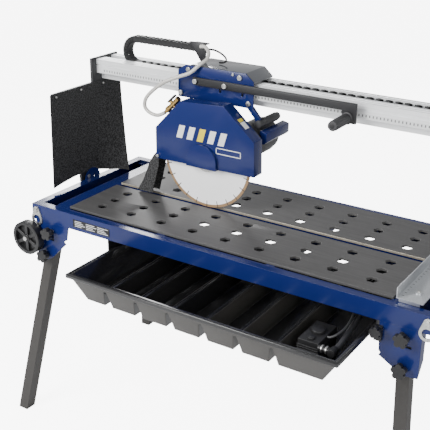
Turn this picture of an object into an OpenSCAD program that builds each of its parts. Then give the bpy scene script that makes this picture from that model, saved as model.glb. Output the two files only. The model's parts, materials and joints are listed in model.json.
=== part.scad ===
// Wet tile saw with a rail-guided cutting head over a perforated table.
// X runs along the rail, Y from front to back, Z up; the floor is Z = 0.

/* [Table and frame] */
// Height of the table top above the floor
table_z = 830; // [800:1:860]
// Thickness of the perforated plates
plate_t = 8; // [6:1:10]
// Half length of each plate
plate_half_x = 600; // [580:1:610]
// Outer edge of each plate, from the blade line
plate_out_y = 272; // [268:1:273]
// Half width of the gap the blade runs in
gap_half = 13.5; // [12:0.5:16]
// Distance between the hole columns
hole_pitch_x = 126.7; // [120:0.1:130]
// Distance between the hole rows
hole_pitch_y = 70.5; // [68:0.5:72]
// First hole row, from the blade line
hole_first_y = 66; // [60:1:68]
// Width of the hexagonal holes across corners
hole_across = 37; // [30:1:40]
// Half length of the frame
frame_half_x = 745; // [740:1:750]
// Half depth of the frame
frame_half_y = 308.5; // [300:0.5:315]
// Height of the frame's folded side
frame_h = 57; // [50:1:64]
// Width of the frame's top flange
flange_w = 30; // [28:1:30]
// Thickness of the folded steel sheet
sheet = 4; // [3:0.5:4]

/* [Legs] */
// Side of the square leg tube
leg_side = 40; // [35:1:42]
// Place of the left leg pivots along the rail
leg_left_x = -687; // [-690:1:-685]
// Place of the right leg pivots along the rail
leg_right_x = 658.5; // [655:0.5:662]
// Outward lean of the left legs along the rail, in degrees
lean_left = 8.2; // [6:0.1:9]
// Outward lean of the right legs along the rail, in degrees
lean_right = 5.4; // [4:0.1:8]
// Lean of every leg away from the frame, in degrees
lean_out = 9.4; // [8:0.1:10]
// Height of the leg pivots
leg_pivot_z = 634; // [632:1:636]
// Radius of a star knob
knob_r = 23; // [22:1:25]

/* [Wheels] */
// Radius of a transport wheel
wheel_r = 61; // [58:0.5:64]
// Width of a transport wheel
wheel_w = 30; // [26:1:32]
// Place of the wheel axles along the rail
wheel_x = -749; // [-752:1:-746]
// Height of the wheel axles
wheel_z = 699; // [696:1:704]

/* [Water tray] */
// Left end of the tray rim
tray_left = -399.5; // [-402:0.5:-396]
// Right end of the tray rim
tray_right = 558; // [555:0.5:560]
// Front of the tray rim, pulled out
tray_front = -529; // [-532:1:-520]
// Depth of the tray
tray_depth = 570; // [560:1:580]
// Height of the top of the tray rim
tray_rim_z = 730; // [726:1:732]
// Height of the tray from floor to rim
tray_h = 92; // [80:1:95]
// Width of the rolled tray rim
rim_w = 14; // [12:1:16]
// Number of cross ridges in the tray floor
ridge_count = 6; // [3:1:6]
// Height of the cross ridges
ridge_h = 60; // [18:1:66]

/* [Bridge] */
// Front face of the rail, from the blade line
rail_front_y = 81.5; // [80:0.5:83]
// Height of the rail's top
rail_top_z = 1264; // [1260:1:1268]
// Half length of the rail
rail_half_x = 753; // [750:1:756]
// Height of the energy chain's links
link_h = 23; // [20:1:23]
// Width of the energy chain
chain_w = 34; // [28:1:36]

/* [Carriage] */
// Left edge of the carriage plate
carriage_left = -368; // [-370:1:-366]
// Right edge of the carriage plate
carriage_right = -65; // [-67:1:-63]
// Front face of the carriage plate, from the blade line
carriage_y = 59.5; // [58:0.5:61]
// Length of the push handle's bar
bar_l = 606; // [560:1:620]

/* [Cutting head] */
// Radius of the saw blade
blade_r = 175; // [150:1:175]
// Place of the blade's centre along the rail
blade_x = -208; // [-210:1:-206]
// Thickness of the blade's cutting rim
blade_t = 3; // [2:0.2:3.4]
// Half depth of the blade guard
guard_half_y = 26; // [24:1:28]
// Radius of the motor
motor_r = 60; // [54:1:62]
// Back end of the motor, from the blade line
motor_end_y = 196; // [180:1:200]

/* [Hidden] */

$fn = 48;
// Moves the design so that the object's box is centred over the origin
shift = [21.75, 61.77, 0];
// Running clearance on every pin, on the radius
fit = 0.05;
frame_top = table_z - plate_t;
frame_bottom = frame_top - frame_h;
hole_columns = 4;
hole_rows = 3;
cross_x = 657;
cross_w = 61;
mid_beam_x = 190;
mid_beam_w = 30;
beam_drop = 30;
channel_half = 28;
channel_floor = 799;
low_flange_w = 70;
ledge_w = 46;
ledge_drop = 10;
trough_floor = 771;
pan_end_x = -395;
pan_back_y = 225;
bracket_t = 3.5;
bracket_back = frame_half_y - bracket_t;
bolt_r = 5;
upper_left = [-656, 735];
upper_right = [657, 741];
leg_face_y = 300.5;
leg_above = 25;
knob_h = 18;
hub_h = 14;
wheel_front_y = 348.5;
eye_left_x = -723;
eye_right_x = 719;
eye_z = 768;
eye_r = 24;
eye_hole_r = 15;
pivot_z = table_z;
pivot_r = 8;
ear_r = 42;
ear_at = [22, 815];
ear_slot_r = 34;
end_x = 753;
end_t = 10;
tray_wall = 3;
tray_back = tray_front + tray_depth;
tray_bottom = tray_rim_z - tray_h;
tray_in_x = 46;
tray_in_y = 24;
tray_shelf_z = tray_rim_z - rim_w;
shelf_gap = 0.2;
ridge_first = -253;
ridge_pitch = 119.8;
tray_knob_at = [tray_right + 24, 742];
pump_floor = tray_bottom + tray_wall;
pump_top = 712;
band_low_z = 1213;
base_low_z = 1187;
base_y = 109.5;
trough_y0 = 128.5;
trough_y1 = 167.5;
trough_z = 1239;
rail_back_y = 199.5;
chain_y = 148;
chain_low_z = 1240;
chain_loop_r = 58;
chain_loop_x = -608;
chain_end_x = 740;
chain_hook_x = -345;
chain_loop_z = chain_low_z + chain_loop_r;
chain_top_z = chain_low_z + 2 * chain_loop_r;
curtain_x = -752.6;
carriage_low = 1187;
carriage_top = 1303;
carriage_t = 5;
cover_low = 1269;
cover_back = 191;
cover_wall = 3;
rod_x = [-323, -170];
rod_y = 73;
rod_r = 6;
bar_y = 43.5;
bar_t = 10;
bar_z = [1241, 1267];
bar_x = -296;
grip_x = 282;
grip_z = 1219;
grip_r = 16;
blade_z = table_z - 2 + blade_r;
guard_wall = 2.5;
guard_low = 977;
motor_x = -93;
motor_z = 1068;
housing_y = [26, 58];
housing_wall = 4;
pulley_r = 26;
spindle_r = 12;
shaft_r = 9;
handle_at = [-45, 1138];
handle_r = 13;
valve_y = -2.5;
valve_mid = [-346, 1174];
valve_angle = 45;
fence_x = 609;
fence_gap = 0.3;
// Route points of the hoses and cables, from one end to the other
water_hose_route = [[-314, 118, 1357], [-292, 116, 1357], [-270, 102, 1342], [-263, 80, 1325],
  [-273, 56, 1312], [-303, 38, 1282], [-345, 28, 1264], [-392, 15, 1243], [-435, 5, 1210],
  [-464, 0, 1177], [-468, -2, 1147], [-446, -3, 1129], [-412, -3, 1125], [-380, -2.5, 1140]];
head_cable_route = [[-296, 134, 1346], [-270, 132, 1348], [-240, 128, 1342], [-218, 126, 1330],
  [-214, 126, 1318], [-226, 128, 1310], [-244, 130, 1307.5]];
pump_hose_route = [[500, -419.2, 700], [500, -390, 700], [494, -340, 700], [487, -275, 702],
  [480, -205, 706], [476, -120, 716], [474, -50, 734], [472, -10, 740], [472, 11.4, 740]];
pump_cable_route = [[457, -382, 708], [465, -382, 709], [479, -372, 716], [485, -330, 718],
  [477, -268, 718], [460, -200, 720], [448, -120, 724], [444, -50, 734], [442, -10, 740],
  [442, 11.6, 740]];

function unit(v) = v / norm(v);
// Point t (0..1) of the smooth curve between points i and i + 1 of a route
function smooth(p, i, t) =
  let (n = len(p) - 1, a = p[max(i - 1, 0)], b = p[i], c = p[min(i + 1, n)], d = p[min(i + 2, n)])
  0.5 * (2 * b + (c - a) * t + (2 * a - 5 * b + 4 * c - d) * t * t
    + (3 * b - a - 3 * c + d) * t * t * t);
function ring_dir(p, i) = unit(p[min(i + 1, len(p) - 1)] - p[max(i - 1, 0)]);
function ring_side(d) = unit(cross(d, [0.2, 0.3, 1]));

// Sweeps a round tube along a route
module sweep(route, r, sides) {
  p = [for (i = [0 : len(route) - 2], k = [0, 1]) smooth(route, i, k / 2), route[len(route) - 1]];
  n = len(p);
  points = [for (i = [0 : n - 1], k = [0 : sides - 1])
    let (d = ring_dir(p, i), s = ring_side(d), u = cross(s, d), a = 360 * k / sides)
    p[i] + r * (cos(a) * s + sin(a) * u)];
  walls = [for (i = [0 : n - 2], k = [0 : sides - 1])
    let (a = i * sides + k, b = i * sides + (k + 1) % sides) [a, b, b + sides, a + sides]];
  start = [[for (k = [0 : sides - 1]) sides - 1 - k]];
  end = [[for (k = [0 : sides - 1]) (n - 1) * sides + k]];
  polyhedron(points, concat(walls, start, end), convexity = 8);
}

// Cylinder along Y between two places
module y_cyl(r, y0, y1, sides = 48) translate([0, y1, 0]) rotate([90, 0, 0])
  cylinder(r = r, h = y1 - y0, $fn = sides);
// Cylinder along X between two places
module x_cyl(r, x0, x1, sides = 48) translate([x0, 0, 0]) rotate([0, 90, 0])
  cylinder(r = r, h = x1 - x0, $fn = sides);
// Outline in X and Z, drawn out along Y
module along_y(y0, y1) translate([0, y1, 0]) rotate([90, 0, 0]) linear_extrude(y1 - y0) children();
// Outline in Y and Z, drawn out along X
module along_x(x0, x1) translate([x0, 0, 0]) rotate([90, 0, 90]) linear_extrude(x1 - x0) children();
// Box given by its two corners
module span(a, b) translate(a) cube(b - a);
// Box whose sides lean in towards the floor
module taper(x0, x1, y0, y1, z0, z1, in_x, in_y) intersection() {
  along_y(y0, y1) polygon([[x0 + in_x, z0], [x1 - in_x, z0], [x1, z1], [x0, z1]]);
  along_x(x0, x1) polygon([[y0 + in_y, z0], [y1 - in_y, z0], [y1, z1], [y0, z1]]);
}
module placed() translate(shift) children();
module rear() mirror([0, 1, 0]) children();
module right() mirror([1, 0, 0]) children();
module both_sides() { children(); rear() children(); }
module both_ends() { children(); right() children(); }

/* Frame */
module frame_long_beams() color("#1b3482") placed() both_sides() {
  y = -frame_half_y;
  inner = y + flange_w;
  low = frame_top - ledge_drop;
  along_x(-frame_half_x + sheet, frame_half_x - sheet) polygon([[y, frame_bottom],
    [y + low_flange_w, frame_bottom], [y + low_flange_w, frame_bottom + sheet],
    [y + sheet, frame_bottom + sheet], [y + sheet, frame_top - sheet],
    [inner - sheet, frame_top - sheet], [inner - sheet, low - sheet], [y + ledge_w, low - sheet],
    [y + ledge_w, low], [inner, low], [inner, frame_top], [y, frame_top]]);
}

module frame_end_beams() color("#1b3482") placed() {
  both_ends() end_beam();
  span([-cross_x, -frame_half_y + ledge_w, trough_floor], [pan_end_x, pan_back_y, trough_floor + sheet]);
}

// Folded end of the frame with its water trough
module end_beam() {
  half_y = frame_half_y - flange_w;
  deep_y = frame_half_y - ledge_w;
  x = -frame_half_x + sheet;
  span([-frame_half_x, -frame_half_y, frame_bottom], [x, frame_half_y, frame_top]);
  span([x, -half_y, frame_top - sheet], [-frame_half_x + flange_w, half_y, frame_top]);
  span([x, -deep_y, trough_floor], [-cross_x, deep_y, trough_floor + sheet]);
  span([-cross_x - sheet, -deep_y, trough_floor + sheet], [-cross_x, deep_y, frame_top]);
}

// Beam across the frame that ends on the long beams' ledges
module cross_beam(x0, x1, y0) {
  deep_y = frame_half_y - ledge_w;
  span([x0, y0, frame_top - beam_drop], [x1, deep_y, frame_top]);
  span([x0, deep_y, frame_top - ledge_drop], [x1, frame_half_y - flange_w, frame_top]);
}

module frame_cross_members() color("#1b3482") placed() {
  both_ends() both_sides() cross_beam(-cross_x, -cross_x + cross_w, 0);
  both_ends() both_sides() cross_beam(-mid_beam_x - mid_beam_w, -mid_beam_x, channel_half);
  inner = cross_x - cross_w;
  along_x(-inner, inner) difference() {
    translate([-channel_half, channel_floor]) square([2 * channel_half, frame_top - channel_floor]);
    translate([-channel_half + sheet, channel_floor + sheet])
      square([2 * (channel_half - sheet), frame_top - channel_floor]);
  }
}

// Slot that the stay bolt hooks into when the leg is folded
module hook_slot(at, side) {
  slot_w = 8;
  drop = 30;
  reach = 22;
  translate(at) {
    translate([-slot_w / 2, -drop]) square([slot_w, drop]);
    translate([side > 0 ? -slot_w / 2 : -reach, -drop - slot_w]) square([reach + slot_w / 2, slot_w]);
  }
}

module bracket_left() difference() {
  along_y(-frame_half_y, -bracket_back) difference() {
    polygon([[-580, frame_bottom], [-590, 715], [-604, 706], [-596, 697], [-668, 626],
      [-700, 612], [-731, 626], [-731, frame_bottom]]);
    translate(upper_left) circle(bolt_r + 1);
    hook_slot(upper_left, -1);
  }
  at_leg(leg_left_x, lean_left) y_cyl(bolt_r, -40, 20);
}

module bracket_right() {
  side_t = 4;
  side_deep = 33;
  x = 702;
  difference() {
    along_y(-frame_half_y, -bracket_back) difference() {
      polygon([[579, frame_bottom], [583, 671], [589, 665], [584, 656], [628, 630],
        [660, 612], [x, 616], [x, frame_bottom]]);
      translate(upper_right) circle(bolt_r + 1);
      hook_slot(upper_right, 1);
    }
    at_leg(leg_right_x, -lean_right) y_cyl(bolt_r, -40, 20);
  }
  along_x(x, x + side_t) polygon([[-frame_half_y, 616], [-frame_half_y + side_deep, 660],
    [-frame_half_y + side_deep, frame_bottom], [-frame_half_y, frame_bottom]]);
}

module wheel_tab() difference() {
  along_y(-wheel_front_y + wheel_w + 2, -frame_half_y) polygon([[wheel_x - 16, wheel_z - 14],
    [-700, wheel_z - 30], [-700, wheel_z + 30], [wheel_x - 16, wheel_z + 14]]);
  translate([wheel_x, 0, wheel_z]) y_cyl(bolt_r, -400, -300);
}

module leg_brackets() color("#1b3482") placed() both_sides() {
  bracket_left();
  bracket_right();
  wheel_tab();
}

module hexagon_holes() for (c = [-hole_columns : hole_columns], r = [0 : hole_rows - 1])
  translate([c * hole_pitch_x, hole_first_y + r * hole_pitch_y])
    circle(r = hole_across / 2, $fn = 6);

module table_plates() color("#66666a") placed() both_sides()
  translate([0, 0, frame_top]) linear_extrude(plate_t) difference() {
    translate([-plate_half_x, gap_half]) square([2 * plate_half_x, plate_out_y - gap_half]);
    hexagon_holes();
  }

module lifting_eyes() color("#d8dadc") placed() both_sides()
  for (x = [eye_left_x, eye_right_x]) translate([x, 0, 0]) {
    bolt_up = 34;
    along_y(-frame_half_y - 5, -frame_half_y) difference() {
      union() {
        translate([0, eye_z]) circle(eye_r);
        translate([0, eye_z + bolt_up]) circle(13);
        polygon([[-22, eye_z + 10], [22, eye_z + 10], [12, eye_z + 38], [-12, eye_z + 38]]);
      }
      translate([0, eye_z]) circle(eye_hole_r);
    }
    translate([0, 0, eye_z + bolt_up]) y_cyl(8, -frame_half_y - 11, -frame_half_y - 5, 6);
  }

// Round ears with the curved slot that the bridge is locked in
module tilt_ears() color("#1b3482") placed() both_ends()
  along_x(-frame_half_x - sheet, -frame_half_x) difference() {
    slot_half = 3;
    translate(ear_at) circle(ear_r);
    translate([0, pivot_z]) circle(pivot_r);
    intersection() {
      translate([0, pivot_z]) difference() {
        circle(ear_slot_r + slot_half);
        circle(ear_slot_r - slot_half);
      }
      translate([0, pivot_z]) polygon([[0, 0], [-4, -60], [60, -60], [60, 4]]);
    }
  }

module tray_hanger() {
  wall = 4;
  reach = 17;
  span([-wall, -300, tray_shelf_z - wall], [0, 300, frame_bottom]);
  span([0, -300, tray_shelf_z - wall], [reach, 300, tray_shelf_z - shelf_gap]);
}

module tray_rails() color("#23242a") placed() {
  side_gap = 8;
  translate([tray_left - side_gap, 0, 0]) tray_hanger();
  translate([tray_right + side_gap, 0, 0]) right() tray_hanger();
  difference() {
    span([tray_knob_at[0] - 12, -frame_half_y - 12, 706],
      [tray_knob_at[0] + 10, -frame_half_y, 752]);
    translate([tray_knob_at[0], 0, tray_knob_at[1]]) y_cyl(4, -330, -300);
  }
}

// Stands something on a front leg's pivot, with the leg's face at Y = 0
module at_leg(x, lean) translate([x, -leg_face_y, leg_pivot_z])
  rotate([-lean_out, 0, 0]) rotate([0, lean, 0]) children();

module leg_bolt() {
  y_cyl(bolt_r, -26, leg_side + 8);
  y_cyl(9, leg_side + 0.5, leg_side + 7, 6);
}

module pivot_bolts() color("#c9ccd0") placed() {
  both_sides() {
    at_leg(leg_left_x, lean_left) leg_bolt();
    at_leg(leg_right_x, -lean_right) leg_bolt();
    for (at = [upper_left, upper_right]) translate([at[0], 0, at[1]]) {
      y_cyl(bolt_r, -frame_half_y - 24, -frame_half_y + 12);
      y_cyl(9, -bracket_back, -bracket_back + 6, 6);
    }
    translate([wheel_x, 0, wheel_z]) {
      y_cyl(bolt_r, -wheel_front_y, -frame_half_y);
      y_cyl(9, -wheel_front_y - 6, -wheel_front_y - 0.3, 6);
      y_cyl(bolt_r, -wheel_front_y - 1, -wheel_front_y);
    }
  }
  translate([tray_knob_at[0], 0, tray_knob_at[1]]) y_cyl(4, -frame_half_y - 26, -frame_half_y);
  both_ends() translate([0, 0, pivot_z]) {
    x_cyl(pivot_r, -end_x - end_t - 1, -frame_half_x);
    x_cyl(11, -end_x - end_t - 5, -end_x - end_t - 0.5);
  }
}

// Length below the pivot, so that the lowest corner meets the floor
module leg(x, lean) difference() {
  reach = leg_pivot_z / (cos(lean) * cos(lean_out)) + leg_side;
  plug_h = 60;
  wall = 3;
  half = leg_side / 2;
  at_leg(x, lean) difference() {
    union() {
      difference() {
        span([-half, 0, -reach], [half, leg_side, leg_above]);
        span([-half + wall, wall, -reach + plug_h + leg_side],
          [half - wall, leg_side - wall, leg_above + 1]);
      }
      y_cyl(10, 0, leg_side);
    }
    y_cyl(bolt_r + fit, -1, leg_side + 1);
  }
  span([-900, -500, -100], [900, 500, 0]);
}

module leg_front_left() color("#45423f") placed() leg(leg_left_x, lean_left);
module leg_front_right() color("#45423f") placed() leg(leg_right_x, -lean_right);
module leg_rear_left() color("#45423f") placed() rear() leg(leg_left_x, lean_left);
module leg_rear_right() color("#45423f") placed() rear() leg(leg_right_x, -lean_right);

// Five-lobed knob whose hub ends at Y = 0, open for its bolt
module star_knob(bore) difference() {
  lobe_r = 9;
  union() {
    along_y(-hub_h - knob_h, -hub_h) {
      circle(knob_r - lobe_r);
      for (a = [90 : 72 : 400]) rotate(a) translate([knob_r - lobe_r, 0]) circle(lobe_r);
    }
    y_cyl(11, -hub_h, 0);
  }
  y_cyl(bore + fit, -hub_h - 5, 1);
}

module leg_knob(x, lean) at_leg(x, lean) translate([0, -11, 0]) star_knob(bolt_r);
module stay_knob(at) translate([at[0], -frame_half_y - 6.5, at[1]]) star_knob(bolt_r);

module knob_front_left() color("#1c1c1e") placed() leg_knob(leg_left_x, lean_left);
module knob_front_right() color("#1c1c1e") placed() leg_knob(leg_right_x, -lean_right);
module knob_rear_left() color("#1c1c1e") placed() rear() leg_knob(leg_left_x, lean_left);
module knob_rear_right() color("#1c1c1e") placed() rear() leg_knob(leg_right_x, -lean_right);
module stay_knob_front_left() color("#1c1c1e") placed() stay_knob(upper_left);
module stay_knob_front_right() color("#1c1c1e") placed() stay_knob(upper_right);
module stay_knob_rear_left() color("#1c1c1e") placed() rear() stay_knob(upper_left);
module stay_knob_rear_right() color("#1c1c1e") placed() rear() stay_knob(upper_right);
module tray_knob() color("#1c1c1e") placed()
  translate([tray_knob_at[0], -frame_half_y - 13, tray_knob_at[1]])
    scale([0.8, 0.8, 0.8]) star_knob(5);

module wheel() translate([wheel_x, 0, wheel_z]) difference() {
  front = -wheel_front_y;
  tyre = 12;
  union() {
    difference() {
      y_cyl(wheel_r, front, front + wheel_w);
      y_cyl(wheel_r - tyre, front - 1, front + wheel_w + 1);
    }
    y_cyl(14, front, front + wheel_w);
    for (a = [0 : 60 : 359]) rotate([0, a, 0])
      span([-6, front + 4, 10], [6, front + wheel_w - 4, wheel_r - tyre + 2]);
  }
  y_cyl(bolt_r + fit, front - 1, front + wheel_w + 1);
}

module wheel_front() color("#2c2c2e") placed() wheel();
module wheel_rear() color("#2c2c2e") placed() rear() wheel();

/* Water tray */
module tray_ridge(x, grow) along_y(tray_front + 2, tray_back - 2)
  polygon([[x - 15 - grow, tray_bottom - 1], [x + 15 + grow, tray_bottom - 1],
    [x + 5 + grow, tray_bottom + ridge_h + grow], [x - 5 - grow, tray_bottom + ridge_h + grow]]);

module water_tray() color("#2a2a2c") placed() {
  x0 = tray_left + rim_w - 2;
  x1 = tray_right - rim_w + 2;
  y0 = tray_front + rim_w - 2;
  y1 = tray_back - rim_w + 2;
  difference() {
    union() {
      span([tray_left, tray_front, tray_shelf_z], [tray_right, tray_back, tray_rim_z]);
      taper(x0, x1, y0, y1, tray_bottom, tray_shelf_z, tray_in_x, tray_in_y);
    }
    difference() {
      taper(x0 + tray_wall, x1 - tray_wall, y0 + tray_wall, y1 - tray_wall,
        tray_bottom + tray_wall, tray_rim_z + 1, tray_in_x, tray_in_y);
      for (i = [0 : ridge_count - 1]) tray_ridge(ridge_first + i * ridge_pitch, tray_wall);
    }
    for (i = [0 : ridge_count - 1]) tray_ridge(ridge_first + i * ridge_pitch, 0);
  }
}

module pump() color("#202022") placed() {
  span([392, -440, pump_floor], [456, -320, pump_top]);
  span([404, -320, pump_floor], [444, -290, pump_top - 22]);
  translate([0, -436, 700]) x_cyl(10, 456, 500);
  translate([500, 0, 700]) y_cyl(12, -450, -420);
}

module pump_hose() color("#55555a") placed() sweep(pump_hose_route, 9, 10);
module pump_cable() color("#3a3a3d") placed() sweep(pump_cable_route, 3.5, 8);
module pump_coupling() color("#2b2b2e") placed()
  span([430, 12, tray_rim_z], [486, tray_back, tray_rim_z + 24]);

module power_inlet() color("#2b2b2e") placed() difference() {
  span([520, frame_half_y, 772], [580, frame_half_y + 38, 816]);
  translate([550, 0, 794]) y_cyl(15, frame_half_y + 16, frame_half_y + 60);
}

/* Bridge */
module rail() color("#e4e6e8") placed() along_x(-end_x, end_x) difference() {
  wall = 4;
  groove = 4;
  polygon([[rail_front_y, band_low_z], [base_y, band_low_z], [base_y, base_low_z],
    [rail_back_y, base_low_z], [rail_back_y, rail_top_z], [trough_y1, rail_top_z],
    [trough_y1, trough_z], [trough_y0, trough_z], [trough_y0, rail_top_z],
    [rail_front_y, rail_top_z], [rail_front_y, 1245], [rail_front_y + groove, 1245],
    [rail_front_y + groove, 1241], [rail_front_y, 1241]]);
  translate([rail_front_y + groove + wall, band_low_z + wall])
    square([trough_y0 - rail_front_y - groove - 2 * wall, rail_top_z - band_low_z - 2 * wall]);
  translate([trough_y1 + wall, band_low_z + wall])
    square([rail_back_y - trough_y1 - 2 * wall, rail_top_z - band_low_z - 2 * wall]);
  translate([base_y + wall, base_low_z + wall])
    square([rail_back_y - base_y - 2 * wall, band_low_z - base_low_z - wall - 2]);
}

module end_plates() color("#26272b") placed() both_ends() along_x(-end_x - end_t, -end_x)
  difference() {
    polygon([[-34, 818], [-22, 800], [26, 800], [70, 860], [205, 1140], [205, 1269],
      [55.5, 1269], [55.5, 1130], [-34, 870]]);
    translate([0, pivot_z]) circle(pivot_r + fit);
  }

module curtain_arm() color("#1e1e20") placed() {
  span([-end_x - end_t, -162, 1164], [-end_x, 55.5, 1181]);
  for (y = [-140, -4]) translate([0, y, 1172]) x_cyl(5, -end_x, -end_x + 5);
}

module splash_curtain() color("#2b2c30") placed() along_x(curtain_x, curtain_x + 2) difference() {
  polygon([[-176, 1181], [-186, 836], [-100, 851], [-10, 852], [60, 848], [226, 842], [214, 1181]]);
  for (y = [-140, -4]) translate([y, 1172]) circle(5);
}

module chain_lower() color("#1f2023") placed() span(
  [chain_loop_x, chain_y - chain_w / 2, chain_low_z],
  [chain_end_x, chain_y + chain_w / 2, chain_low_z + link_h]);

module chain_loop() color("#1f2023") placed() intersection() {
  translate([chain_loop_x, 0, chain_loop_z]) difference() {
    y_cyl(chain_loop_r, chain_y - chain_w / 2, chain_y + chain_w / 2);
    y_cyl(chain_loop_r - link_h, 0, 300);
  }
  span([-900, 0, 1200], [chain_loop_x, 300, 1400]);
}

module chain_upper() color("#1f2023") placed() span(
  [chain_loop_x, chain_y - chain_w / 2, chain_top_z - link_h],
  [chain_hook_x, chain_y + chain_w / 2, chain_top_z]);

/* Carriage */
module bolt_head(at, y, r = 9, h = 6) translate([at[0], 0, at[1]]) y_cyl(r, y - h, y);

module carriage_plate() color("#1b3482") placed() along_y(carriage_y, carriage_y + carriage_t)
  difference() {
    polygon([[carriage_left, carriage_low], [carriage_left, 1281], [carriage_left + 31, 1301],
      [carriage_right - 32, carriage_top], [carriage_right, 1277], [carriage_right, carriage_low]]);
    for (x = [-200, -112]) translate([x, 1224]) square([8, 20]);
  }

module carriage_cover() color("#8d9096") placed() {
  x0 = -319;
  x1 = -99;
  y0 = carriage_y + carriage_t;
  difference() {
    along_y(y0, cover_back) polygon([[x0, cover_low], [x0, carriage_top], [x1, carriage_top],
      [x1 + 32, cover_low + 6], [x1 + 32, cover_low]]);
    along_y(y0 - 1, cover_back - cover_wall) polygon([[x0 + cover_wall, cover_low - 1],
      [x0 + cover_wall, carriage_top - cover_wall], [x1 - 1, carriage_top - cover_wall],
      [x1 + 29, cover_low + 4], [x1 + 29, cover_low - 1]]);
  }
}

module carriage_bolts() color("#d8dadc") placed() {
  for (at = [[-323, 1287], [-356, 1203], [-118, 1286], [-83, 1203]]) bolt_head(at, carriage_y);
  bolt_head([-145, 1293], carriage_y, 5, 4);
  for (at = [[-286, 1254], [-168, 1254]]) {
    bolt_head(at, bar_y);
    bolt_head(at, carriage_y, 7, carriage_y - bar_y - bar_t);
  }
}

module glide_pads() color("#1a1a1c") placed() {
  y0 = carriage_y + carriage_t;
  gap = 0.3;
  for (x = [-360, -240, -130]) {
    span([x, y0, 1248], [x + 24, rail_front_y - gap, 1262]);
    span([x, y0, 1205], [x + 24, rail_front_y - gap, 1212.7]);
    span([x, rail_front_y - gap, 1205], [x + 24, base_y - gap, band_low_z - gap]);
  }
  for (x = [-310, -130]) {
    span([x, 90, rail_top_z + gap], [x + 24, 122, carriage_top - cover_wall]);
    span([x, 171, rail_top_z + gap], [x + 24, 186, carriage_top - cover_wall]);
  }
}

module guide_rods() color("#c9ccd0") placed() for (x = rod_x) {
  translate([x, rod_y, 1075]) cylinder(r = rod_r, h = 115);
  span([x - 12, carriage_y + carriage_t, 1190], [x + 12, 81, 1204]);
}

module chain_bracket() color("#1f2023") placed() {
  along_y(125, 129.5) polygon([[-365, 1357], [-362, 1368], [-306, 1369], [-296, 1340],
    [-300, carriage_top], [-319, carriage_top], [-337, 1330]]);
  span([-362, 129.5, 1357], [-308, 166, 1361]);
  translate([0, 134, 1346]) x_cyl(6, -308, -296);
  span([-312, 129.5, 1338], [-308, 140, 1354]);
}

module handle_arm() color("#1f1f21") placed() {
  along_y(bar_y, bar_y + bar_t) {
    translate([bar_x, bar_z[0]]) square([bar_l, bar_z[1] - bar_z[0]]);
    translate([grip_x - 20, grip_z - 17]) square([48, 62]);
  }
}

module handle_grip() color("#4b4a4e") placed() translate([grip_x, 0, grip_z]) {
  y_cyl(grip_r, -62, 38);
  y_cyl(grip_r + 4, 38, bar_y);
}

module head_cable() color("#1c1c1e") placed() sweep(head_cable_route, 3.5, 8);
module water_hose() color("#d5d3cc") placed() sweep(water_hose_route, 6.5, 10);

/* Cutting head */
guard_outline = [[-405, guard_low], [-405, 1090], [-302, 1197], [-128, 1207], [-8, 1102],
  [-5, guard_low + 7]];

module guard_boss(r, y) along_y(y, -guard_half_y + guard_wall) {
  translate([blade_x, blade_z]) circle(r);
  translate([blade_x - r, guard_low]) square([2 * r, blade_z - guard_low]);
}

module blade_guard() color("#1b3482") placed() difference() {
  boss_r = 60;
  boss_out = 13;
  union() {
    along_y(-guard_half_y, guard_half_y) polygon(guard_outline);
    intersection() {
      guard_boss(boss_r, -guard_half_y - boss_out);
      span([-600, -100, guard_low + 3], [200, 0, 1400]);
    }
  }
  along_y(-guard_half_y + guard_wall, guard_half_y - guard_wall) intersection() {
    offset_guard();
    translate([-900, 900]) square([1200, 400]);
  }
  intersection() {
    guard_boss(boss_r - guard_wall, -guard_half_y - boss_out + guard_wall);
    span([-600, -100, 900], [200, 0, 1400]);
  }
  translate([blade_x, 0, blade_z]) y_cyl(34, guard_half_y - 4, guard_half_y + 1);
}

// Inside of the guard, open at the bottom
module offset_guard() polygon([[-405 + guard_wall, 900], [-405 + guard_wall, 1089],
  [-301, 1197 - guard_wall], [-129, 1207 - guard_wall], [-8 - guard_wall, 1101],
  [-5 - guard_wall, 900]]);

module housing_outline(grow) {
  translate([blade_x, blade_z]) circle(40 + grow);
  translate([motor_x, motor_z]) circle(60 + grow);
  g = grow;
  polygon([[blade_x - 14 - g, blade_z + 36 + g], [blade_x + 24 + g, blade_z - 32 - g],
    [motor_x + 33 + g, motor_z - 50 - g], [motor_x - 33 - g, motor_z + 50 + g]]);
}

// Guides that slide on the two rods
module rod_blocks() for (x = rod_x) difference() {
  union() {
    span([x - 14, housing_y[1], 1104], [x + 14, 86, 1150]);
    span([x - 14, guard_half_y, 1104], [x + 14, housing_y[1], 1150]);
  }
  translate([x, rod_y, 1000]) cylinder(r = rod_r + fit, h = 200);
}

module drive_housing() color("#1b3482") placed() {
  difference() {
    along_y(housing_y[0], housing_y[1]) housing_outline(0);
    along_y(housing_y[0] + housing_wall, housing_y[1] - housing_wall)
      housing_outline(-housing_wall);
    translate([blade_x, 0, blade_z]) y_cyl(spindle_r + fit, 0, housing_y[0] + housing_wall + 1);
    translate([blade_x, 0, blade_z]) y_cyl(spindle_r + fit, housing_y[1] - housing_wall - 1, 80);
    translate([motor_x, 0, motor_z]) y_cyl(shaft_r + fit, housing_y[1] - housing_wall - 1, 80);
    for (x = rod_x) span([x - 14, housing_y[0] - 1, 1104], [x + 14, 90, 1150]);
  }
  rod_blocks();
  span([rod_x[0] + 14, guard_half_y, 1112], [rod_x[1] - 14, guard_half_y + 8, 1142]);
  difference() {
    along_y(66, 78) polygon([[-92, 1186], [-74, 1194], [-42, 1158], [-42, 1126], [-60, 1126],
      [-60, 1150]]);
    translate([handle_at[0], 0, handle_at[1]]) y_cyl(handle_r + fit, 60, 84);
  }
}

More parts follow.
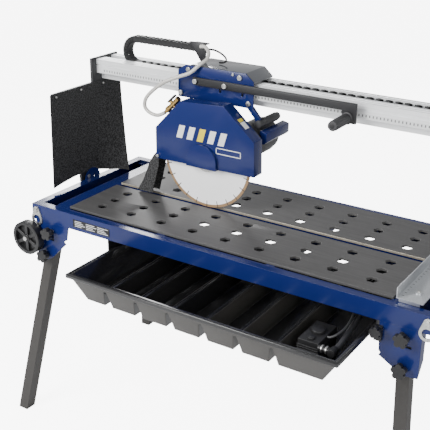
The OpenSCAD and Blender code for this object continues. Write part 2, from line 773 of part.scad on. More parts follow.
module motor() color("#2f3236") placed() translate([motor_x, 0, motor_z]) difference() {
  union() {
    y_cyl(motor_r, housing_y[1], motor_end_y - 24);
    y_cyl(motor_r - 4, motor_end_y - 24, motor_end_y);
  }
  y_cyl(shaft_r + fit, housing_y[1] - 1, housing_y[1] + 61);
}

module motor_pulley() color("#b9bcc0") placed() translate([motor_x, 0, motor_z]) {
  y_cyl(pulley_r, 34, 50);
  y_cyl(shaft_r, 50, housing_y[1] + 58);
}

module belt_outline(r) {
  translate([blade_x, blade_z]) circle(r);
  translate([motor_x, motor_z]) circle(r);
  run = [motor_x - blade_x, motor_z - blade_z];
  translate([blade_x, blade_z]) rotate(atan2(run[1], run[0])) translate([0, -r])
    square([norm(run), 2 * r]);
}

module drive_belt() color("#202022") placed() along_y(35, 49) difference() {
  belt_outline(pulley_r + 3.3);
  belt_outline(pulley_r + 0.3);
}

module switch_box() color("#22357c") placed() along_y(60, 216)
  polygon([[-39, 1104], [-33, 1100], [-33, 1072], [-20, 1072], [-10, 1082], [-10, 1112],
    [-36, 1118]]);

module head_handle() color("#3c3d40") placed() translate([handle_at[0], 0, handle_at[1]]) {
  y_cyl(handle_r, 58, 192);
  y_cyl(handle_r + 2, 86, 180);
}

// Stands something on the valve's own axis, which is X here
module at_valve() translate([valve_mid[0], valve_y, valve_mid[1]]) rotate([0, -valve_angle, 0])
  children();

module valve_body() color("#b98d3e") placed() {
  at_valve() difference() {
    union() {
      x_cyl(9, -24, 26);
      x_cyl(11, -34, -22, 6);
      x_cyl(11, 24, 34, 6);
      x_cyl(6.2, -42, -34);
      translate([0, 0, -15.5]) cylinder(r = 6, h = 15.5);
      cylinder(r = 6, h = 14);
    }
    translate([0, 0, 8]) cylinder(r = 3 + fit, h = 10);
  }
}

module valve_lever() color("#18181a") placed() at_valve() {
  translate([0, 0, 8.5]) cylinder(r = 3, h = 8);
  span([-8, -7, 14.5], [30, 7, 20]);
}

module splash_flap() color("#2b2c30") placed() along_y(-22, 22)
  polygon([[-406, 1000], [-438, 962], [-454, 925], [-477, 880], [-498, 838], [-428, 838],
    [-420, 880], [-408, 925], [-396, 960], [-396, 974], [-406, 974]]);

module saw_blade() color("#e8e8e6") placed() translate([blade_x, 0, blade_z]) difference() {
  core_t = 2.4;
  rim_h = 10;
  union() {
    y_cyl(blade_r - rim_h, -core_t / 2, core_t / 2);
    difference() {
      y_cyl(blade_r, -blade_t / 2, blade_t / 2);
      y_cyl(blade_r - rim_h, -5, 5);
    }
  }
  y_cyl(spindle_r, -5, 5);
}

module spindle() color("#b9bcc0") placed() translate([blade_x, 0, blade_z]) {
  flange_r = 45;
  y_cyl(spindle_r, -22, housing_y[1] + 8);
  y_cyl(flange_r, -7, -1.2);
  y_cyl(flange_r, 1.2, 7);
  y_cyl(18, -22, -7, 6);
  y_cyl(pulley_r, 34, 50);
}

/* Fence */
module fence() color("#c9ccd0") placed() {
  base = table_z + fence_gap;
  leg_h = 34;
  flange = 76;
  front = -frame_half_y + flange_w + 1;
  span([fence_x, front, base], [fence_x + 4, 240, base + leg_h]);
  span([fence_x + 4, front, base], [fence_x + 4 + flange, 240, base + 4]);
  span([fence_x + 8, front, frame_top + fence_gap], [fence_x + 70, -plate_out_y - 1, base]);
  translate([fence_x + 46, -224, base + 4]) cylinder(r = 10, h = 6);
}

frame_long_beams();
frame_end_beams();
frame_cross_members();
leg_brackets();
table_plates();
lifting_eyes();
tilt_ears();
tray_rails();
pivot_bolts();
power_inlet();
leg_front_left();
leg_front_right();
leg_rear_left();
leg_rear_right();
knob_front_left();
knob_front_right();
knob_rear_left();
knob_rear_right();
stay_knob_front_left();
stay_knob_front_right();
stay_knob_rear_left();
stay_knob_rear_right();
tray_knob();
wheel_front();
wheel_rear();
water_tray();
pump();
pump_hose();
pump_cable();
pump_coupling();
rail();
end_plates();
curtain_arm();
splash_curtain();
chain_lower();
chain_loop();
carriage_plate();
carriage_cover();
carriage_bolts();
glide_pads();
guide_rods();
chain_bracket();
chain_upper();
handle_arm();
handle_grip();
head_cable();
blade_guard();
drive_housing();
motor();
motor_pulley();
drive_belt();
switch_box();
head_handle();
valve_body();
valve_lever();
splash_flap();
water_hose();
saw_blade();
spindle();
fence();
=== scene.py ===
"""Wet tile saw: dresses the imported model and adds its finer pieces."""

import json
import logging
import math
from dataclasses import dataclass, field
from enum import Enum
from typing import Callable, Sequence

import bmesh
import bpy
from mathutils import Matrix, Vector


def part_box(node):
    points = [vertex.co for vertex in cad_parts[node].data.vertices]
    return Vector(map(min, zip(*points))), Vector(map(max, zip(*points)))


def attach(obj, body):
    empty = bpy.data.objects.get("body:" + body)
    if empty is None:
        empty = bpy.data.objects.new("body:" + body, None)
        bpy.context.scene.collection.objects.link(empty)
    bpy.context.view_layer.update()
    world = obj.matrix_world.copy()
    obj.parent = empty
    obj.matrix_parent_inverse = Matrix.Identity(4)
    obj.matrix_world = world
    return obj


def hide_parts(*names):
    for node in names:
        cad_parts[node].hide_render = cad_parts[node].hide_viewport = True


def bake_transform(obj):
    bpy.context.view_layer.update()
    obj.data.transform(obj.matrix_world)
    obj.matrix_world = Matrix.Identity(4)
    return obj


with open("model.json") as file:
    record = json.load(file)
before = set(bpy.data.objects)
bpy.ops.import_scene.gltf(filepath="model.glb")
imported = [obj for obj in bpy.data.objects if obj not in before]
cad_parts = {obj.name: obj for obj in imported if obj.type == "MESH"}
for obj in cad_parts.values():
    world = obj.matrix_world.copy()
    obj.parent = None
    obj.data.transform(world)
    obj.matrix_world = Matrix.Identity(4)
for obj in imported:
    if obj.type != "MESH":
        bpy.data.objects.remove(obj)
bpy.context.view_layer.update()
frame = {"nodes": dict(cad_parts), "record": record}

LOG = logging.getLogger("tile_saw")
Colour = tuple[float, float, float]
Point = tuple[float, float, float]
Piece = bpy.types.Object
Node = bpy.types.Node
Tree = bpy.types.NodeTree
Socket = bpy.types.NodeSocket


class Body(Enum):
    """The rigid bodies that pieces ride on."""

    STAND = "stand"
    TRAY = "tray"
    BRIDGE = "bridge"
    CHAIN = "chain"
    CARRIAGE = "carriage"
    HEAD = "head"
    WHEEL_FRONT = "wheel_front"
    WHEEL_REAR = "wheel_rear"
    FENCE = "fence_stop"


# ---------------------------------------------------------------- finishes


@dataclass(frozen=True)
class Finish:
    """A surface finish made of procedural nodes on Object coordinates.

    Args:
        name: the material's name.
        colour: linear base colour.
        shade: how far the colour falls in the darker grains, from 0 to 1.
        grain: grains per metre.
        stretch: how the grain is stretched along each axis.
        rough: lowest and highest roughness.
        bump: height of the grain, as the bump's strength.
        metallic: share of bare metal.
        coat: weight of the clear coat.
        edge: radius that the edges are softened by, in metres.
        detail: octaves of the grain.
        contrast: half the width of the change from dark to light grain.
        specular: level of the plain reflection.
    """

    name: str
    colour: Colour
    shade: float = 0.15
    grain: float = 400.0
    stretch: Point = (1.0, 1.0, 1.0)
    rough: tuple[float, float] = (0.35, 0.5)
    bump: float = 0.05
    metallic: float = 0.0
    coat: float = 0.0
    edge: float = 0.0012
    detail: float = 3.0
    contrast: float = 0.15
    specular: float = 0.5

    def build(self) -> bpy.types.Material:
        """Makes the material, or finds it if it is made already.

        Returns:
            The finished material.
        """
        found = bpy.data.materials.get(self.name)
        if found:
            return found
        made = bpy.data.materials.new(self.name)
        made.use_nodes = True
        tree = made.node_tree
        shader = tree.nodes["Principled BSDF"]
        shader.inputs["Metallic"].default_value = self.metallic
        shader.inputs["Coat Weight"].default_value = self.coat
        shader.inputs["Coat Roughness"].default_value = 0.06
        shader.inputs["Specular IOR Level"].default_value = self.specular
        place = tree.nodes.new("ShaderNodeTexCoord")
        mapping = tree.nodes.new("ShaderNodeMapping")
        mapping.inputs["Scale"].default_value = self.stretch
        tree.links.new(place.outputs["Object"], mapping.inputs["Vector"])
        noise = tree.nodes.new("ShaderNodeTexNoise")
        noise.inputs["Scale"].default_value = self.grain
        noise.inputs["Detail"].default_value = self.detail
        tree.links.new(mapping.outputs["Vector"], noise.inputs["Vector"])
        self.paint(tree, shader, noise, mapping)
        self.roughen(tree, shader, noise)
        self.emboss(tree, shader, noise)
        return made

    def paint(self, tree: Tree, shader: Node, noise: Node, mapping: Node) -> None:
        """Links the base colour: the grain darkens the finish a little.

        Args:
            tree: the material's nodes.
            shader: the node that takes the result.
            noise: the grain.
            mapping: where the grain lies.
        """
        ramp = tree.nodes.new("ShaderNodeValToRGB")
        low = tuple(c * (1.0 - self.shade) for c in self.colour)
        ramp.color_ramp.elements[0].position = 0.5 - self.contrast
        ramp.color_ramp.elements[0].color = (*low, 1.0)
        ramp.color_ramp.elements[1].position = 0.5 + self.contrast
        ramp.color_ramp.elements[1].color = (*self.colour, 1.0)
        tree.links.new(noise.outputs["Fac"], ramp.inputs["Fac"])
        tree.links.new(ramp.outputs["Color"], shader.inputs["Base Color"])

    def roughen(self, tree: Tree, shader: Node, noise: Node) -> None:
        """Links the roughness between its two limits.

        Args:
            tree: the material's nodes.
            shader: the node that takes the result.
            noise: the grain.
        """
        span = tree.nodes.new("ShaderNodeMapRange")
        span.inputs["To Min"].default_value = self.rough[0]
        span.inputs["To Max"].default_value = self.rough[1]
        tree.links.new(noise.outputs["Fac"], span.inputs["Value"])
        tree.links.new(span.outputs["Result"], shader.inputs["Roughness"])

    def emboss(self, tree: Tree, shader: Node, noise: Node) -> None:
        """Links the normal: softened edges under a fine grain.

        Args:
            tree: the material's nodes.
            shader: the node that takes the result.
            noise: the grain.
        """
        soft = tree.nodes.new("ShaderNodeBevel")
        soft.samples = 4
        soft.inputs["Radius"].default_value = self.edge
        bump = tree.nodes.new("ShaderNodeBump")
        bump.inputs["Strength"].default_value = self.bump
        bump.inputs["Distance"].default_value = 0.0008
        tree.links.new(noise.outputs["Fac"], bump.inputs["Height"])
        tree.links.new(soft.outputs["Normal"], bump.inputs["Normal"])
        tree.links.new(bump.outputs["Normal"], shader.inputs["Normal"])


@dataclass(frozen=True)
class BladeFinish(Finish):
    """Bright blade core with a bronze cutting rim that slots divide.

    Args:
        centre: the blade's centre, in the frame.
        rim: radius where the cutting rim starts, in metres.
        rim_colour: linear colour of the rim.
        slots: number of slots round the rim.
    """

    centre: Point = (0.0, 0.0, 0.0)
    rim: float = 0.165
    rim_colour: Colour = (0.3, 0.19, 0.1)
    slots: int = 24

    def paint(self, tree: Tree, shader: Node, noise: Node, mapping: Node) -> None:
        """Links a colour that changes with the radius and the angle.

        Args:
            tree: the material's nodes.
            shader: the node that takes the result.
            noise: the grain.
            mapping: where the grain lies.
        """
        place = tree.nodes.new("ShaderNodeTexCoord")
        shift = tree.nodes.new("ShaderNodeVectorMath")
        shift.operation = "SUBTRACT"
        shift.inputs[1].default_value = self.centre
        tree.links.new(place.outputs["Object"], shift.inputs[0])
        parts = tree.nodes.new("ShaderNodeSeparateXYZ")
        tree.links.new(shift.outputs["Vector"], parts.inputs["Vector"])
        flat = tree.nodes.new("ShaderNodeCombineXYZ")
        tree.links.new(parts.outputs["X"], flat.inputs["X"])
        tree.links.new(parts.outputs["Z"], flat.inputs["Z"])
        radius = tree.nodes.new("ShaderNodeVectorMath")
        radius.operation = "LENGTH"
        tree.links.new(flat.outputs["Vector"], radius.inputs[0])
        on_rim = math_node(tree, "GREATER_THAN", radius.outputs["Value"], self.rim)
        rim_mix = mix_node(tree, on_rim, (*self.colour, 1.0), (*self.rim_colour, 1.0))
        angle = math_node(tree, "ARCTAN2", parts.outputs["Z"], parts.outputs["X"])
        turn = math_node(tree, "MULTIPLY", angle, self.slots / (2.0 * math.pi))
        part = math_node(tree, "FRACT", turn, 0.0)
        in_slot = math_node(tree, "LESS_THAN", part, 0.075)
        past = math_node(tree, "GREATER_THAN", radius.outputs["Value"], self.rim - 0.012)
        slot = math_node(tree, "MULTIPLY", in_slot, past)
        final = mix_node(tree, slot, rim_mix, (0.06, 0.05, 0.04, 1.0))
        tree.links.new(final, shader.inputs["Base Color"])


@dataclass(frozen=True)
class TickFinish(Finish):
    """A pale strip with a row of fine dark marks along X.

    Args:
        pitch: distance between the marks, in metres.
        mark: colour of the marks.
        top: height where the marks start, in the frame.
        low: height where the short marks end, in the frame.
    """

    pitch: float = 0.01
    mark: Colour = (0.05, 0.05, 0.055)
    top: float = 1.0
    low: float = 0.99

    def paint(self, tree: Tree, shader: Node, noise: Node, mapping: Node) -> None:
        """Links a colour that repeats along X between two heights.

        Args:
            tree: the material's nodes.
            shader: the node that takes the result.
            noise: the grain.
            mapping: where the grain lies.
        """
        place = tree.nodes.new("ShaderNodeTexCoord")
        parts = tree.nodes.new("ShaderNodeSeparateXYZ")
        tree.links.new(place.outputs["Object"], parts.inputs["Vector"])
        steps = math_node(tree, "DIVIDE", parts.outputs["X"], self.pitch)
        part = math_node(tree, "FRACT", steps, 0.0)
        line = math_node(tree, "LESS_THAN", part, 0.32)
        above = math_node(tree, "GREATER_THAN", parts.outputs["Z"], self.low)
        below = math_node(tree, "LESS_THAN", parts.outputs["Z"], self.top)
        both = math_node(tree, "MULTIPLY", above, below)
        marked = math_node(tree, "MULTIPLY", both, line)
        final = mix_node(tree, marked, (*self.colour, 1.0), (*self.mark, 1.0))
        tree.links.new(final, shader.inputs["Base Color"])


def math_node(tree: Tree, operation: str, first: Socket,
              second: "Socket | float") -> Socket:
    """Adds a Math node.

    Args:
        tree: the material's nodes.
        operation: the Math node's operation.
        first: the first input.
        second: the second input, a socket or a number.

    Returns:
        The node's output.
    """
    node = tree.nodes.new("ShaderNodeMath")
    node.operation = operation
    tree.links.new(first, node.inputs[0])
    if isinstance(second, Socket):
        tree.links.new(second, node.inputs[1])
    else:
        node.inputs[1].default_value = second
    return node.outputs["Value"]


def mix_node(tree: Tree, factor: Socket, first: object,
             second: object) -> Socket:
    """Adds a colour Mix node and returns its output.

    Args:
        tree: the material's nodes.
        factor: the share of the second colour.
        first: a socket or a colour with alpha.
        second: a socket or a colour with alpha.

    Returns:
        The mixed colour.
    """
    node = tree.nodes.new("ShaderNodeMix")
    node.data_type = "RGBA"
    tree.links.new(factor, node.inputs[0])
    for socket, value in ((node.inputs[6], first), (node.inputs[7], second)):
        if isinstance(value, Socket):
            tree.links.new(value, socket)
        else:
            socket.default_value = value
    return node.outputs[2]


BLUE = Finish("deep_blue_paint", (0.0065, 0.015, 0.1), 0.06, 900.0, rough=(0.18, 0.26), coat=0.12,
              specular=0.3, bump=0.03, edge=0.0015)
PLATE = Finish("brushed_plate_coating", (0.105, 0.103, 0.102), 0.3, 260.0, (0.03, 1.0, 1.0),
               (0.38, 0.6), 0.25, 0.35)
PLATE_EDGE = Finish("bare_plate_edge", (0.5, 0.45, 0.36), 0.2, 300.0, rough=(0.35, 0.5), metallic=0.6)
ZINC = Finish("bright_zinc", (0.62, 0.62, 0.6), 0.25, 180.0, rough=(0.2, 0.42), metallic=0.95,
              bump=0.06)
ALUMINIUM = Finish("satin_aluminium", (0.93, 0.94, 0.95), 0.06, 700.0, (0.02, 1.0, 1.0),
                   (0.3, 0.46), 0.08, 0.35)
GALVANISED = Finish("galvanised_sheet", (0.62, 0.64, 0.66), 0.12, 200.0, rough=(0.26, 0.4),
                    metallic=0.8, bump=0.04)
BLACK_STEEL = Finish("black_powder_coat", (0.013, 0.013, 0.015), 0.2, 1400.0, rough=(0.36, 0.5),
                     bump=0.2)
DARK_TUBE = Finish("dark_leg_enamel", (0.037, 0.034, 0.031), 0.2, 900.0, rough=(0.4, 0.55), bump=0.12)
BLACK_PLASTIC = Finish("black_moulding", (0.012, 0.012, 0.013), 0.3, 1600.0, rough=(0.38, 0.55),
                       bump=0.25, edge=0.002)
GREY_PLASTIC = Finish("grey_moulding", (0.04, 0.04, 0.042), 0.2, 1500.0, rough=(0.4, 0.55), bump=0.25,
                      edge=0.002)
TRAY_PLASTIC = Finish("tray_moulding", (0.012, 0.012, 0.013), 0.2, 120.0, rough=(0.12, 0.26), bump=0.1,
                      coat=0.3, edge=0.003)
TRAY_SKIN = Finish("tray_outer_skin", (0.05, 0.047, 0.043), 0.25, 300.0, rough=(0.3, 0.45), bump=0.2,
                   edge=0.003)
TYRE = Finish("black_tyre", (0.012, 0.012, 0.013), 0.3, 900.0, rough=(0.25, 0.4), bump=0.15, edge=0.002)
RUBBER = Finish("mottled_rubber_sheet", (0.05, 0.05, 0.051), 0.94, 210.0, rough=(0.6, 0.95), bump=1.0,
                edge=0.0004, detail=6.0, contrast=0.06)
HOSE = Finish("braided_clear_hose", (0.62, 0.6, 0.56), 0.3, 420.0, rough=(0.22, 0.4), bump=0.3,
              coat=0.4, edge=0.0005)
DARK_HOSE = Finish("ribbed_dark_hose", (0.06, 0.06, 0.065), 0.4, 500.0, rough=(0.4, 0.6), bump=0.4,
                   edge=0.0005)
BRASS = Finish("polished_brass", (0.55, 0.36, 0.13), 0.15, 300.0, rough=(0.2, 0.36), metallic=1.0)
COVER = Finish("grey_cover_enamel", (0.1, 0.105, 0.115), 0.1, 700.0, rough=(0.1, 0.2), coat=0.7,
               bump=0.03)
WHITE_PRINT = Finish("white_print", (0.82, 0.82, 0.82), 0.05, 500.0, rough=(0.35, 0.45), edge=0.0002)
YELLOW_PRINT = Finish("yellow_print", (0.8, 0.62, 0.02), 0.08, 500.0, rough=(0.35, 0.45), edge=0.0002)


# ---------------------------------------------------------------- modelling helpers


def deselect() -> None:
    """Leaves nothing selected."""
    bpy.ops.object.select_all(action="DESELECT")


def activate(piece: Piece) -> Piece:
    """Selects one piece alone and makes it the active one.

    Args:
        piece: the piece.

    Returns:
        The same piece.
    """
    deselect()
    piece.select_set(True)
    bpy.context.view_layer.objects.active = piece
    return piece


def settle(piece: Piece) -> Piece:
    """Applies a piece's place, turn and size to its mesh.

    Args:
        piece: the piece.

    Returns:
        The same piece.
    """
    activate(piece)
    bpy.ops.object.transform_apply(location=True, rotation=True, scale=True)
    return piece


def modify(piece: Piece, kind: str, **values: object) -> Piece:
    """Adds a modifier, sets it and applies it.

    Args:
        piece: the piece.
        kind: the modifier's type.
        **values: the modifier's settings.

    Returns:
        The same piece.
    """
    activate(piece)
    modifier = piece.modifiers.new(kind.title(), kind)
    for name, value in values.items():
        setattr(modifier, name, value)
    bpy.ops.object.modifier_apply(modifier=modifier.name)
    return piece


def round_edges(piece: Piece, width: float, segments: int = 2) -> Piece:
    """Bevels the sharp edges of a piece and smooths it by angle.

    Args:
        piece: the piece.
        width: radius of the edges.
        segments: steps across an edge.

    Returns:
        The same piece.
    """
    modify(piece, "BEVEL", width=width, segments=segments, limit_method="ANGLE",
           angle_limit=math.radians(35), use_clamp_overlap=True, harden_normals=False)
    activate(piece)
    bpy.ops.object.shade_smooth_by_angle(angle=math.radians(32))
    return piece


def block(name: str, low: Sequence[float], high: Sequence[float], bevel: float = 0.0015,
          segments: int = 2) -> Piece:
    """Makes a box between two corners, with rounded edges.

    Args:
        name: the piece's name.
        low: the lowest corner.
        high: the highest corner.
        bevel: radius of the edges.
        segments: steps across an edge.

    Returns:
        The piece, settled at the origin.
    """
    deselect()
    low, high = Vector(low), Vector(high)
    bpy.ops.mesh.primitive_cube_add(size=1.0, location=(low + high) / 2)
    piece = bpy.context.object
    piece.name = name
    piece.scale = high - low
    settle(piece)
    return round_edges(piece, bevel, segments)


def rod(name: str, start: Sequence[float], end: Sequence[float], radius: float, sides: int = 40,
        bevel: float = 0.001) -> Piece:
    """Makes a round bar between two points, with rounded ends.

    Args:
        name: the piece's name.
        start: centre of the first end.
        end: centre of the second end.
        radius: the bar's radius.
        sides: faces round the bar.
        bevel: radius of the end edges.

    Returns:
        The piece, settled at the origin.
    """
    deselect()
    start, end = Vector(start), Vector(end)
    bpy.ops.mesh.primitive_cylinder_add(vertices=sides, radius=radius, depth=(end - start).length,
                                        location=(start + end) / 2)
    piece = bpy.context.object
    piece.name = name
    piece.rotation_mode = "QUATERNION"
    piece.rotation_quaternion = (end - start).to_track_quat("Z", "Y")
    settle(piece)
    return round_edges(piece, bevel)


def join(name: str, pieces: Sequence[Piece]) -> Piece:
    """Joins pieces into one with a new name.

    Args:
        name: the joined piece's name.
        pieces: the pieces, the first of which takes in the others.

    Returns:
        The joined piece.
    """
    deselect()
    for piece in pieces:
        piece.select_set(True)
    bpy.context.view_layer.objects.active = pieces[0]
    bpy.ops.object.join()
    pieces[0].name = name
    return pieces[0]


def duplicate(piece: Piece, offset: Sequence[float]) -> Piece:
    """Copies a piece with its own mesh and moves the mesh.

    Args:
        piece: the piece.
        offset: how far the copy is moved.

    Returns:
        The copy.
    """
    twin = piece.copy()
    twin.data = piece.data.copy()
    bpy.context.collection.objects.link(twin)
    twin.data.transform(Matrix.Translation(offset))
    return twin


def finished_copy(node: str, bevel: float = 0.001, segments: int = 2) -> Piece:
    """Copies a CAD node, rounds its edges and lets the copy stand for it.

    Args:
        node: the CAD node's name.
        bevel: radius of the edges.
        segments: steps across an edge.

    Returns:
        The rounded copy, which rides on the node's body.
    """
    source = frame["nodes"][node]
    piece = source.copy()
    piece.data = source.data.copy()
    piece.name = node + "_finished"
    piece.parent = None
    piece.matrix_world = source.matrix_world
    bpy.context.collection.objects.link(piece)
    settle(piece)
    bpy.ops.object.mode_set(mode="EDIT")
    bpy.ops.mesh.select_all(action="SELECT")
    bpy.ops.mesh.remove_doubles(threshold=0.00001)
    bpy.ops.mesh.dissolve_limited(angle_limit=math.radians(0.5))
    bpy.ops.mesh.select_all(action="DESELECT")
    bpy.ops.object.mode_set(mode="OBJECT")
    round_edges(piece, bevel, segments)
    body = next(b for b, nodes in frame["record"]["behaviour"]["bodies"].items() if node in nodes)
    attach(piece, body)
    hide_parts(node)
    return piece


def dress(piece: Piece, finish: Finish) -> Piece:
    """Gives a piece one finish in all its material slots.

    Args:
        piece: the piece.
        finish: its finish.

    Returns:
        The same piece.
    """
    material = finish.build()
    if not piece.data.materials:
        piece.data.materials.append(material)
    for number in range(len(piece.data.materials)):
        piece.data.materials[number] = material
    LOG.info("dressed %s with %s", piece.name, finish.name)
    return piece


def dress_nodes(finish: Finish, *nodes: str) -> None:
    """Gives CAD nodes one finish."""
    for node in nodes:
        dress(frame["nodes"][node], finish)


def add(piece: Piece, body: Body, finish: Finish) -> Piece:
    """Dresses a new piece and lets it ride on a body.

    Args:
        piece: the new piece.
        body: the body it rides on.
        finish: its finish.

    Returns:
        The same piece.
    """
    dress(piece, finish)
    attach(piece, body.value)
    return piece


def tube(name: str, route: Sequence[Point], radius: float, sides: int = 16,
         per_span: int = 6) -> Piece:
    """Sweeps a closed round tube along a smooth route.

    Args:
        name: the piece's name.
        route: the points it passes, in metres.
        radius: the tube's radius.
        sides: faces round the tube.
        per_span: rings between two points.

    Returns:
        The tube as a mesh.
    """
    points = [Vector(p) for p in route]
    last = len(points) - 1
    line: list[Vector] = []
    for i in range(last):
        a, b = points[max(i - 1, 0)], points[i]
        c, d = points[i + 1], points[min(i + 2, last)]
        for k in range(per_span):
            t = k / per_span
            line.append(0.5 * (2 * b + (c - a) * t + (2 * a - 5 * b + 4 * c - d) * t * t
                               + (3 * b - a - 3 * c + d) * t ** 3))
    line.append(points[last])
    mesh = bpy.data.meshes.new(name)
    build = bmesh.new()
    rings = []
    for i, centre in enumerate(line):
        ahead = (line[min(i + 1, len(line) - 1)] - line[max(i - 1, 0)]).normalized()
        side = ahead.cross(Vector((0.2, 0.3, 1.0))).normalized()
        up = side.cross(ahead)
        rings.append([build.verts.new(centre + radius * (math.cos(a) * side + math.sin(a) * up))
                      for a in (2 * math.pi * k / sides for k in range(sides))])
    for first, second in zip(rings, rings[1:]):
        for k in range(sides):
            build.faces.new((first[k], first[(k + 1) % sides], second[(k + 1) % sides], second[k]))
    build.faces.new(list(reversed(rings[0])))
    build.faces.new(rings[-1])
    bmesh.ops.recalc_face_normals(build, faces=build.faces)
    build.to_mesh(mesh)
    build.free()
    piece = bpy.data.objects.new(name, mesh)
    bpy.context.collection.objects.link(piece)
    activate(piece)
    bpy.ops.object.shade_smooth_by_angle(angle=math.radians(60))
    return piece


def low_face(front: bool) -> float:
    """Y of the frame's outer face at the front or at the back."""
    low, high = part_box("frame_long_beams")
    return low.y if front else high.y


def mid(node: str) -> Vector:
    """The middle of a CAD node's box."""
    low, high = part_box(node)
    return (low + high) / 2


# ---------------------------------------------------------------- studio


@dataclass
class Studio:
    """Camera, floor and lights.

    Args:
        eye: the camera's place.
        azimuth: turn round the object, in degrees.
        elevation: height above the horizon, in degrees.
        roll: lean of the camera, in degrees.
        lens: focal length in millimetres.
    """

    eye: Point = (1.38335, -2.31633, 1.989)
    azimuth: float = 32.838
    elevation: float = 22.738
    roll: float = 0.455
    lens: float = 73.53
    floor_size: float = 40.0
    ambient: float = 0.6
    floor_glow: float = 7.0

    def build(self) -> None:
        """Makes the camera, the floor and the lights."""
        self.make_camera()
        self.make_floor()
        self.make_lights()

    def make_camera(self) -> None:
        """Places the camera at its own turn and height."""
        a, e, r = (math.radians(v) for v in (self.azimuth, self.elevation, self.roll))
        back = Vector((math.sin(a) * math.cos(e), -math.cos(a) * math.cos(e), math.sin(e)))
        right = Vector((math.cos(a), math.sin(a), 0.0))
        up = back.cross(right)
        across = right * math.cos(r) + up * math.sin(r)
        above = up * math.cos(r) - right * math.sin(r)
        turn = Matrix((across, above, back)).transposed().to_4x4()
        lens = bpy.data.cameras.new("camera")
        lens.lens = self.lens
        lens.sensor_width = 36.0
        lens.clip_end = 100.0
        camera = bpy.data.objects.new("camera", lens)
        bpy.context.collection.objects.link(camera)
        camera.matrix_world = Matrix.Translation(self.eye) @ turn
        bpy.context.scene.camera = camera

    def make_floor(self) -> None:
        """Lays a plain pale floor."""
        deselect()
        bpy.ops.mesh.primitive_plane_add(size=self.floor_size)
        floor = bpy.context.object
        floor.name = "studio_floor"
        dress(floor, Finish("studio_floor", (0.9, 0.9, 0.9), 0.01, 2.0, rough=(0.8, 0.9), bump=0.0))
        tree = floor.data.materials[0].node_tree
        shader = tree.nodes["Principled BSDF"]
        seen = tree.nodes.new("ShaderNodeLightPath")
        glow = math_node(tree, "MULTIPLY", seen.outputs["Is Camera Ray"], self.floor_glow)
        shader.inputs["Emission Color"].default_value = (1.0, 1.0, 1.0, 1.0)
        tree.links.new(glow, shader.inputs["Emission Strength"])

    def make_lights(self) -> None:
        """Hangs soft lights round the object and lights the world."""
        world = bpy.data.worlds.new("studio")
        world.use_nodes = True
        world.node_tree.nodes["Background"].inputs["Color"].default_value = (0.97, 0.98, 1.0, 1.0)
        tree = world.node_tree
        seen = tree.nodes.new("ShaderNodeLightPath")
        glow = math_node(tree, "MULTIPLY", seen.outputs["Is Camera Ray"], self.floor_glow)
        strength = math_node(tree, "ADD", glow, self.ambient)
        tree.links.new(strength, tree.nodes["Background"].inputs["Strength"])
        bpy.context.scene.world = world
        for name, place, size, power in (("key", (-1.4, -3.0, 2.8), 2.0, 210.0),
                                         ("fill", (3.2, -2.6, 2.0), 1.6, 55.0),
                                         ("top", (-2.9, 2.7, 2.45), 0.9, 42.0)):
            data = bpy.data.lights.new(name, "AREA")
            data.size = size
            data.energy = power
            lamp = bpy.data.objects.new(name, data)
            bpy.context.collection.objects.link(lamp)
            lamp.location = place
            lamp.rotation_mode = "QUATERNION"
            lamp.rotation_quaternion = (Vector((0, 0, 0.8)) - Vector(place)).to_track_quat("-Z", "Y")


# ---------------------------------------------------------------- sub-assemblies


